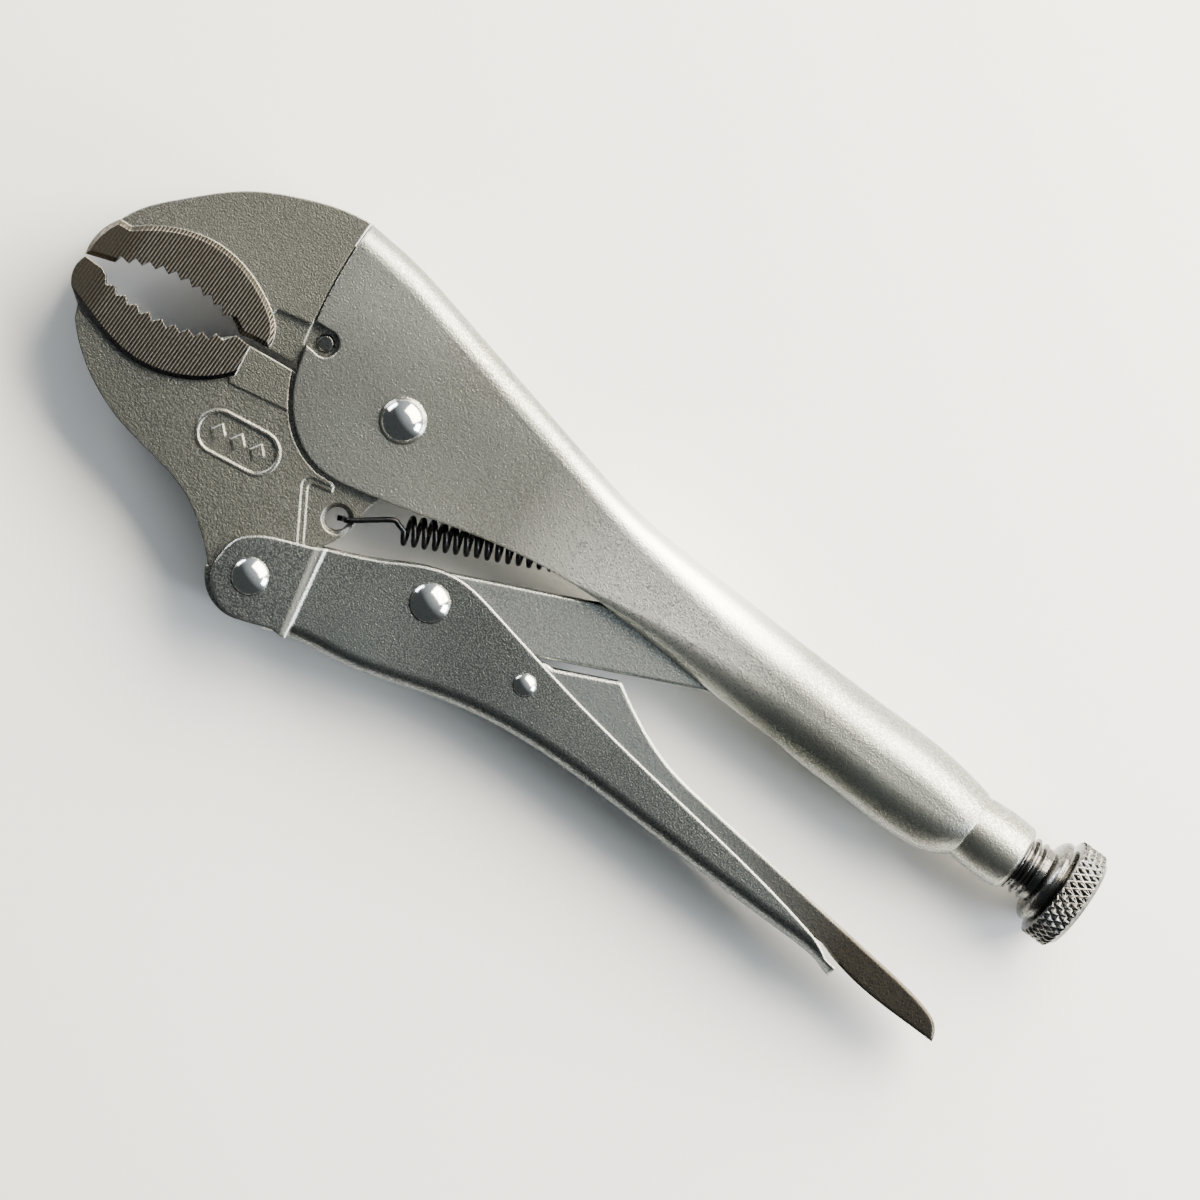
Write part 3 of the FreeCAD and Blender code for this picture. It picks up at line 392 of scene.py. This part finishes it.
# %% Paint shade on the handle's front and a sheen on its waist
SHADE_WAY, SHADE_RANGE, SHADE_SHARE = Vector((0.8, 0.6, 0.0)), (-26.0 * MM, 6.0 * MM), 0.75
WAIST, WAIST_NEAR, WAIST_FAR, WAIST_SHEEN_SHARE = at(66.0, 2.0), 12.0 * MM, 36.0 * MM, 0.9
FRONT_SHADE_STEEL, WAIST_SHEEN_STEEL = (0.12, 0.13, 0.13), (0.97, 0.96, 0.90)


def paint_sheet_shade_and_sheen(material):
    tree = material.node_tree
    shader = tree.nodes["Principled BSDF"]
    place = tree.nodes["Texture Coordinate"].outputs["Object"]
    slant = node(tree, "VectorMath", operation="DOT_PRODUCT")
    tree.links.new(place, slant.inputs[0])
    slant.inputs[1].default_value = SHADE_WAY
    along = maths(tree, "SUBTRACT", slant.outputs["Value"], SHADE_WAY.dot(PIVOT))
    shade_mask = ramp(tree, along, *SHADE_RANGE, SHADE_SHARE, 0.0)
    away = node(tree, "VectorMath", operation="DISTANCE")
    tree.links.new(place, away.inputs[0])
    away.inputs[1].default_value = WAIST
    sheen_mask = ramp(tree, away.outputs["Value"], WAIST_NEAR, WAIST_FAR, WAIST_SHEEN_SHARE, 0.0)
    plain = shader.inputs["Base Color"].links[0].from_socket
    # painted shade over the front, then a painted sheen over the waist
    with_shade = blend_colours(tree, shade_mask, plain, FRONT_SHADE_STEEL)
    tree.links.new(blend_colours(tree, sheen_mask, with_shade, WAIST_SHEEN_STEEL),
                   shader.inputs["Base Color"])


paint_sheet_shade_and_sheen(HANDLE)
print("shaded", HANDLE.name)

# %% [markdown]
# ### The ground pads of the jaws
# The toothed pads are cut with a milling cutter after plating, so they are bare steel with
# straight lines across them, about 0.7 mm apart. A wave pattern in bands makes the lines:
# they darken the colour a little and give a shallow bump.

# %% The milled steel
LINE_SPACING = 0.72 * MM
BANDS_PER_UNIT = 20.0
SMOOTH_NOSE, NOSE_FADE = at(-70.5, 0).x, 5.0 * MM
LINE_RANGE, LINE_SHARE, NOSE_SHARE = (0.1, 0.6), 0.85, 0.15
LINE_STEEL, LINE_DEPTH = (0.030, 0.027, 0.023), 0.12 * MM


def milled():
    material = steel("milled_pad", dark=(0.065, 0.057, 0.047), light=(0.14, 0.125, 0.103),
                     tint=(0.09, 0.078, 0.062), edge=(0.34, 0.33, 0.29),
                     rough=(0.30, 0.40), size=1500.0, coarse=0.4, bump=0.03 * MM, width=0.3 * MM)
    tree = material.node_tree
    shader = tree.nodes["Principled BSDF"]
    place = tree.nodes["Texture Coordinate"].outputs["Object"]
    lines = node(tree, "TexWave", wave_type="BANDS", bands_direction="X", Distortion=0.25,
                 Detail=2.0)
    lines.inputs["Scale"].default_value = math.tau / (BANDS_PER_UNIT * LINE_SPACING)
    lines.inputs["Detail Scale"].default_value = 1.5
    tree.links.new(place, lines.inputs["Vector"])
    parts = node(tree, "SeparateXYZ")
    tree.links.new(place, parts.inputs["Vector"])
    reach = ramp(tree, parts.outputs["X"], SMOOTH_NOSE, SMOOTH_NOSE + NOSE_FADE,
                 NOSE_SHARE, 1.0)
    under = shader.inputs["Base Color"].links[0].from_socket
    grooves = ramp(tree, lines.outputs["Fac"], *LINE_RANGE, LINE_SHARE, 0.0)
    shade = maths(tree, "MULTIPLY", grooves, reach)
    tree.links.new(blend_colours(tree, shade, under, LINE_STEEL),
                   shader.inputs["Base Color"])
    dents = node(tree, "Bump", Strength=1.0, Distance=LINE_DEPTH)
    tree.links.new(maths(tree, "MULTIPLY", lines.outputs["Fac"], reach), dents.inputs["Height"])
    tree.links.new(shader.inputs["Normal"].links[0].from_socket, dents.inputs["Normal"])
    tree.links.new(dents.outputs["Normal"], shader.inputs["Normal"])
    return material


MILLED = milled()
# A near-black steel that is painted shade: it goes on the lower pad's slope that faces away from the light
# and on the walls of the spring's hole.
SHADE_BLACK_STEEL = steel("painted_shade_cut", dark=(0.008, 0.008, 0.010), light=(0.025, 0.025, 0.028),
                tint=(0.012, 0.012, 0.014), edge=(0.16, 0.16, 0.16),
                rough=(0.30, 0.42), size=1800.0, coarse=0.4, bump=0.03 * MM, width=0.3 * MM)

# %% [markdown]
# ## Dressing the working parts
# The sheet parts, the link and the rivets keep their meshes and take a steel each. The jaws
# take three: their faces are sorted by place, so that the raised pads and the teeth are
# milled, the lower pad's outer slope and the walls of the spring's hole are painted
# near-black as shade, and the rest of the forging stays blasted.

# %% Give the plain parts their steel
FINISH = {
    "fixed_handle": HANDLE, "lever_handle": LEVER, "release_lever": TRIGGER,
    "toggle_link": PLATE, "main_pivot_rivet": RIVET, "jaw_lever_rivet": RIVET,
    "link_rivet": RIVET, "release_rivet": RIVET, "jaw_dowel_pin": TURNED,
}
for name, material in FINISH.items():
    nodes[name].data.materials.clear()
    nodes[name].data.materials.append(material)
print("dressed:", sorted(FINISH))

# %% Sort the jaws' faces into forging, milled pad and cuts painted black as shade
WEB_TOP = {"fixed_jaw": 6.05 * MM, "movable_jaw": 5.7 * MM}
TEETH = (at(-76, -13.9), at(-38.4, -1.5))
MOUTH = at(-56, -8.2)
BLASTED, GROUND, PAINTED_SHADE = range(3)
HOLE, HOLE_R = at(1.0, -24.8), 2.55 * MM
UPRIGHT_BELOW, SLANTED_BELOW, OUTWARD = 0.1, 0.5, -0.2


def cut_of(jaw, centre, normal):
    """Pads stand above the web; teeth are upright faces that look into the mouth."""
    if abs(centre.z - PIVOT.z) > WEB_TOP[jaw] and abs(normal.z) > UPRIGHT_BELOW:
        # the lower pad's slopes that face away from the light get painted shade
        return PAINTED_SHADE if jaw == "movable_jaw" and normal.y < OUTWARD else GROUND
    # the walls of the spring's hole get painted shade
    if abs(normal.z) < UPRIGHT_BELOW and (centre - HOLE).to_2d().length < HOLE_R:
        return PAINTED_SHADE
    inside = all(TEETH[0][k] < centre[k] < TEETH[1][k] for k in (0, 1))
    looks_in = abs(normal.z) < SLANTED_BELOW and normal.dot(MOUTH - centre) > 0
    return GROUND if inside and looks_in else BLASTED


for jaw in ("fixed_jaw", "movable_jaw"):
    mesh = nodes[jaw].data
    mesh.materials.clear()
    for material in (FORGING, MILLED, SHADE_BLACK_STEEL):
        mesh.materials.append(material)
    for face in mesh.polygons:
        face.material_index = cut_of(jaw, face.center, face.normal)
    print(jaw, "ground faces:", sum(face.material_index == GROUND for face in mesh.polygons))

# %% [markdown]
# ## The adjusting screw
# On the working part the thread is a stack of rings. The real one is a helix, and its knob
# is cut with a diamond knurl, so both are remade. A thread is the easiest thing to spin:
# one tooth of the profile is turned about the axis while each step also moves it along by
# a fraction of the pitch.

# %% Sizes of the screw and a helper that turns a bmesh into a piece
PITCH = 2.0 * MM
ROOT, CREST, HUB = 5.5 * MM, 6.6 * MM, 6.2 * MM
THREAD_END, TIP = at(166.2, 0).x, at(97.4, 0).x
COLLAR = at(167.4, 0).x
BAND, KNOB_END, KNOB_R = at(170.6, 0).x, at(177.9, 0).x, 11.7 * MM


def piece(name, mesh_in_work, material, smooth_angle=None):
    """Writes the bmesh to a new object, with its faces pointing outwards."""
    bmesh.ops.remove_doubles(mesh_in_work, verts=mesh_in_work.verts, dist=TINY)
    bmesh.ops.recalc_face_normals(mesh_in_work, faces=mesh_in_work.faces)
    mesh = bpy.data.meshes.new(name)
    mesh_in_work.to_mesh(mesh)
    mesh_in_work.free()
    mesh.materials.append(material)
    if smooth_angle is not None:
        mesh.shade_smooth()
        mesh.set_sharp_from_angle(angle=math.radians(smooth_angle))
    made = bpy.data.objects.new(name, mesh)
    bpy.context.scene.collection.objects.link(made)
    print(name, len(mesh.polygons), "faces")
    return made


def spin_profile(work, points, steps, turns=1.0, advance=0.0):
    """Turns (x, radius) points about the screw's axis; advance is the way along X that
    one whole turn makes."""
    line = [work.verts.new((x, SCREW_AXIS.y + radius, SCREW_AXIS.z)) for x, radius in points]
    edges = [work.edges.new(pair) for pair in zip(line, line[1:])]
    whole = round(steps * turns)
    bmesh.ops.spin(work, geom=line + edges, cent=SCREW_AXIS, axis=(1, 0, 0),
                   dvec=(advance / steps, 0, 0), angle=math.tau * turns, steps=whole,
                   use_merge=advance == 0.0, use_duplicate=False)


# %% The helical thread
THREAD_STEPS = 48
TOOTH = ((0.0, ROOT), (0.12, ROOT), (0.44, CREST), (0.60, CREST), (0.92, ROOT), (1.0, ROOT))


def thread():
    work = bmesh.new()
    turns = math.ceil((THREAD_END - TIP) / PITCH) + 1
    start = THREAD_END - turns * PITCH
    tooth = [(start + share * PITCH, radius) for share, radius in TOOTH]
    spin_profile(work, tooth, THREAD_STEPS, turns, PITCH)
    bmesh.ops.remove_doubles(work, verts=work.verts, dist=TINY)
    for level, way in ((THREAD_END, 1), (TIP, -1)):
        whole = work.verts[:] + work.edges[:] + work.faces[:]
        cut = bmesh.ops.bisect_plane(work, geom=whole, plane_co=(level, 0, 0),
                                     plane_no=(way, 0, 0), clear_outer=True)
        ring = [item for item in cut["geom_cut"] if isinstance(item, bmesh.types.BMEdge)]
        bmesh.ops.edgeloop_fill(work, edges=ring)
    return piece("screw_thread", work, TURNED, smooth_angle=30)


rod = thread()

# %% [markdown]
# ### The knurled knob
# A knurl is two sets of slanting grooves that leave rows of little pyramids. The grip band
# starts as squares. Poking each square and dissolving its old sides turns the grid
# into diamonds, and insetting each diamond with a height raises it between grooves. The
# collar in front of the band is plain turned steel, so it stays a spun profile. Its two
# stretches are (along, radius) pairs in millimetres, from the collar and from the band.

# %% The knob
KNURLS_ROUND, KNURL_ROWS = 38, 2
KNURL_DEPTH, KNURL_SLOPE = 0.60 * MM, 0.62 * MM
BEVEL, BEVEL_LEAN, BEVEL_STEP = 0.8 * MM, 0.7, 0.4 * MM
HUB_LAP, HUB_STEP, BAND_STEP = 0.4 * MM, 0.1 * MM, 0.6 * MM
COLLAR_SHAPE = ((0.1, 7.2), (0.4, 8.4), (0.9, 9.2), (1.6, 9.7))
NECK_SHAPE = ((-0.9, 9.7), (-0.5, 8.6), (0.0, 8.8), (0.4, 10.2))
NEARLY = 0.98


def out_from_axis(point):
    """How far a point is from the screw's axis."""
    return math.hypot(point.y - SCREW_AXIS.y, point.z - SCREW_AXIS.z)


def knob():
    work = bmesh.new()
    grip_r = KNOB_R - KNURL_DEPTH
    grip_start, grip_end = BAND + BAND_STEP, KNOB_END - BEVEL
    rows = [(grip_start + (grip_end - grip_start) * row / KNURL_ROWS, grip_r)
            for row in range(KNURL_ROWS + 1)]
    profile = ([(THREAD_END - HUB_LAP, 0.0), (THREAD_END - HUB_LAP, HUB),
                (COLLAR - HUB_STEP, HUB)]
               + [(COLLAR + along * MM, radius * MM) for along, radius in COLLAR_SHAPE]
               + [(BAND + along * MM, radius * MM) for along, radius in NECK_SHAPE]
               + rows
               + [(KNOB_END - BEVEL_STEP, grip_r - BEVEL_LEAN * BEVEL),
                  (KNOB_END, grip_r - BEVEL), (KNOB_END, 0.0)])
    spin_profile(work, profile, KNURLS_ROUND)
    bmesh.ops.remove_doubles(work, verts=work.verts, dist=TINY)
    bmesh.ops.recalc_face_normals(work, faces=work.faces)

    band = [face for face in work.faces
            if all(abs(out_from_axis(vert.co) - grip_r) < TINY for vert in face.verts)]
    old_sides = [edge for edge in {edge for face in band for edge in face.edges}
                 if all(face in band for face in edge.link_faces)]
    bmesh.ops.poke(work, faces=band)
    bmesh.ops.dissolve_edges(work, edges=old_sides, use_verts=False)
    middles = {face: face.calc_center_median() for face in work.faces}
    diamonds = [face for face, middle in middles.items()
                if grip_start - TINY < middle.x < grip_end + TINY
                and out_from_axis(middle) > NEARLY * grip_r]
    bmesh.ops.inset_individual(work, faces=diamonds, thickness=KNURL_SLOPE,
                               depth=KNURL_DEPTH, use_even_offset=True)
    return piece("screw_knob", work, TURNED, smooth_angle=35)


head = knob()
for part in (rod, head):
    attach(part, "screw")
    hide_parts("adjusting_screw")

# %% [markdown]
# ## The spring
# A tension spring is the same trick as the thread: a small circle is spun about the
# spring's axis with a step along it. Its two ends are drawn out into hooks, which are
# short curves with a round bevel, joined to the coil.

# %% The coil and its hooks
ANCHOR = at(56.0, 1.7)
WIRE_R, COIL_R, COIL_PITCH = 0.6 * MM, 2.8 * MM, 2.25 * MM
COIL_START, COIL_TURNS, COIL_STEPS, WIRE_SIDES = 14.2 * MM, 17, 30, 10
COIL_END = (COIL_START + COIL_TURNS * COIL_PITCH) / MM
NEAR_HOOK = [(-4.5, 0, 0.2), (-4.6, 0, 1.8), (0, 0, 1.8), (4.6, 0, 1.7), (4.5, -0.4, 4.0),
             (4.3, -1.7, 10.4), (4.2, -1.9, 12.2), (3.8, -1.0, 12.9), (2.9, 0, 14.2)]
FAR_HOOK = [(2.8, 0, COIL_END), (2.0, 0, COIL_END + 1.5), (1.9, 0, 59.0), (1.9, 0, 60.5),
            (0, 0, 60.5), (-1.9, 0, 60.5), (-1.9, 0, 58.0)]
ALONG = (ANCHOR - HOLE).normalized()
UPRIGHT = Matrix((Vector((0, 0, 1)), Vector((ALONG.y, -ALONG.x, 0)), ALONG)).transposed()
TO_SPRING = Matrix.Translation(HOLE) @ UPRIGHT.to_4x4()


def hook(points):
    """A bent wire as a mesh: a smooth curve through the points, with a round bevel."""
    curve = bpy.data.curves.new("hook", "CURVE")
    curve.dimensions = "3D"
    curve.bevel_depth = WIRE_R
    curve.bevel_resolution = 3
    curve.use_fill_caps = True
    run = curve.splines.new("NURBS")
    run.points.add(len(points) - 1)
    for spot, point in zip(run.points, points):
        spot.co = (*(coordinate * MM for coordinate in point), 1.0)
    run.order_u = 3
    run.use_endpoint_u = True
    run.resolution_u = 8
    bent = bpy.data.objects.new("hook", curve)
    mesh = bpy.data.meshes.new_from_object(bent)
    bpy.data.objects.remove(bent)
    return mesh


def spring():
    work = bmesh.new()
    place = Matrix.Translation((COIL_R, 0, COIL_START)) @ Matrix.Rotation(math.pi / 2, 4, "X")
    ring = bmesh.ops.create_circle(work, cap_ends=True, segments=WIRE_SIDES, radius=WIRE_R,
                                   matrix=place)["verts"]
    bmesh.ops.spin(work, geom=ring + work.edges[:], cent=(0, 0, 0), axis=(0, 0, 1),
                   dvec=(0, 0, COIL_PITCH / COIL_STEPS), angle=math.tau * COIL_TURNS,
                   steps=COIL_TURNS * COIL_STEPS, use_merge=False)
    last = [edge for edge in work.edges if edge.is_boundary]
    bmesh.ops.edgeloop_fill(work, edges=last)
    for mesh in (hook(NEAR_HOOK), hook(FAR_HOOK)):
        work.from_mesh(mesh)
        bpy.data.meshes.remove(mesh)
    bmesh.ops.transform(work, matrix=TO_SPRING, verts=work.verts)
    return piece("jaw_spring_wire", work, WIRE, smooth_angle=50)


coil = spring()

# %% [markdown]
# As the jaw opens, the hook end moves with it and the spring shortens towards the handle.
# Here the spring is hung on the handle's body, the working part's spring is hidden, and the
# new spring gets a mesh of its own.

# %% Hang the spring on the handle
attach(coil, "handle")
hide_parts("jaw_spring")
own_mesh(coil)

# %% [markdown]
# ## Table, light and camera
# The table is plain and pale. Steel shows whatever is around it, so the lights matter more
# than the materials. Flat faces mirror the sky overhead, which is dim, and go dark grey. One
# long warm panel beyond the spine draws the bright band on the tube and the lines on
# the upper edges. A smaller, cooler panel at each end lifts the shadows.

# %% The table
TABLE_HALF, TABLE_ROUGH = 3.0, 0.8
TABLE_PALE, TABLE_PALER = (0.96, 0.96, 0.96), (0.99, 0.99, 0.99)


def table():
    work = bmesh.new()
    bmesh.ops.create_grid(work, x_segments=1, y_segments=1, size=TABLE_HALF)
    material = bpy.data.materials.new("table_top")
    material.use_nodes = True
    tree = material.node_tree
    shader = tree.nodes["Principled BSDF"]
    shader.inputs["Roughness"].default_value = TABLE_ROUGH
    place = node(tree, "TexCoord").outputs["Object"]
    mottle = node(tree, "TexNoise", Scale=9.0, Detail=3.0)
    tree.links.new(place, mottle.inputs["Vector"])
    tree.links.new(blend_colours(tree, mottle.outputs["Fac"], TABLE_PALE, TABLE_PALER),
                   shader.inputs["Base Color"])
    return piece("table", work, material)


table()

# %% The lights


def panel(name, place, aim, size, power, colour):
    """A rectangular light panel at place, facing aim."""
    light = bpy.data.lights.new(name, "AREA")
    light.shape = "RECTANGLE"
    light.size, light.size_y = size
    light.energy = power
    light.color = colour
    lamp = bpy.data.objects.new(name, light)
    lamp.location = place
    lamp.rotation_mode = "QUATERNION"
    lamp.rotation_quaternion = (Vector(aim) - Vector(place)).to_track_quat("-Z", "Y")
    bpy.context.scene.collection.objects.link(lamp)


MIDDLE = at(50.0, -8.0)
PANELS = (("key_panel", (0.25, 0.72, 0.52), (1.1, 0.8), 58.0, (1.0, 0.905, 0.73)),
          ("right_panel", (0.85, 0.20, 0.35), (0.4, 0.4), 12.0, (0.90, 0.96, 1.0)),
          ("left_panel", (-0.85, 0.30, 0.22), (0.5, 0.2), 6.0, (0.92, 0.96, 1.0)))
for name, place, size, power, colour in PANELS:
    panel(name, place, MIDDLE, size, power, colour)
print("lights:", [name for name, *_ in PANELS])

# %% [markdown]
# The sky is a gradient: pale on the spine's side, dark on the lever's side. Rounded steel
# turns that into a bright upper half and a dark lower half, which is what makes a tube
# read as a tube. A dot product of the direction and a fixed vector gives the gradient.

# %% The sky
PALE_SIDE = Vector((0.30, 0.80, 0.25))
SKY_RANGE = (0.05, 0.95)
SKY_DARK, SKY_PALE = (0.068, 0.077, 0.080), (0.95, 1.06, 1.12)
world = bpy.data.worlds.new("studio")
bpy.context.scene.world = world
world.use_nodes = True
sky = world.node_tree
slope = node(sky, "VectorMath", operation="DOT_PRODUCT")
sky.links.new(node(sky, "TexCoord").outputs["Generated"], slope.inputs[0])
slope.inputs[1].default_value = PALE_SIDE
sky.links.new(blend_colours(sky, ramp(sky, slope.outputs["Value"], *SKY_RANGE),
                            SKY_DARK, SKY_PALE),
              sky.nodes["Background"].inputs["Color"])
print("sky from", SKY_DARK, "to", SKY_PALE)

# %% [markdown]
# The camera stands well back, over the jaws' end, and looks at the middle of the tool. It
# is turned so that the tool lies across the frame from corner to corner.

# %% The camera
FRAME_WIDTH, TURN = 254.6, math.radians(35.7)
EYE, AIM = at(-50.0, -8.0, 1200.0), at(56.4, -6.3)
SENSOR, NEAREST = 36.0, 0.01


def aimed(eye, aim, level):
    """The rotation of a camera at eye that looks at aim, with level as its right."""
    back = (eye - aim).normalized()
    right = (level - level.dot(back) * back).normalized()
    return Matrix((right, back.cross(right), back)).transposed()


lens = bpy.data.cameras.new("camera")
lens.sensor_width = SENSOR
lens.lens = SENSOR * (EYE - AIM).length / (FRAME_WIDTH * MM)
lens.clip_start = NEAREST
camera = bpy.data.objects.new("camera", lens)
camera.location = EYE
camera.rotation_euler = aimed(EYE, AIM, Vector((math.cos(TURN), math.sin(TURN), 0.0))).to_euler()
bpy.context.scene.collection.objects.link(camera)
bpy.context.scene.camera = camera
print("camera", round(lens.lens), "mm, from", tuple(round(v, 3) for v in EYE))
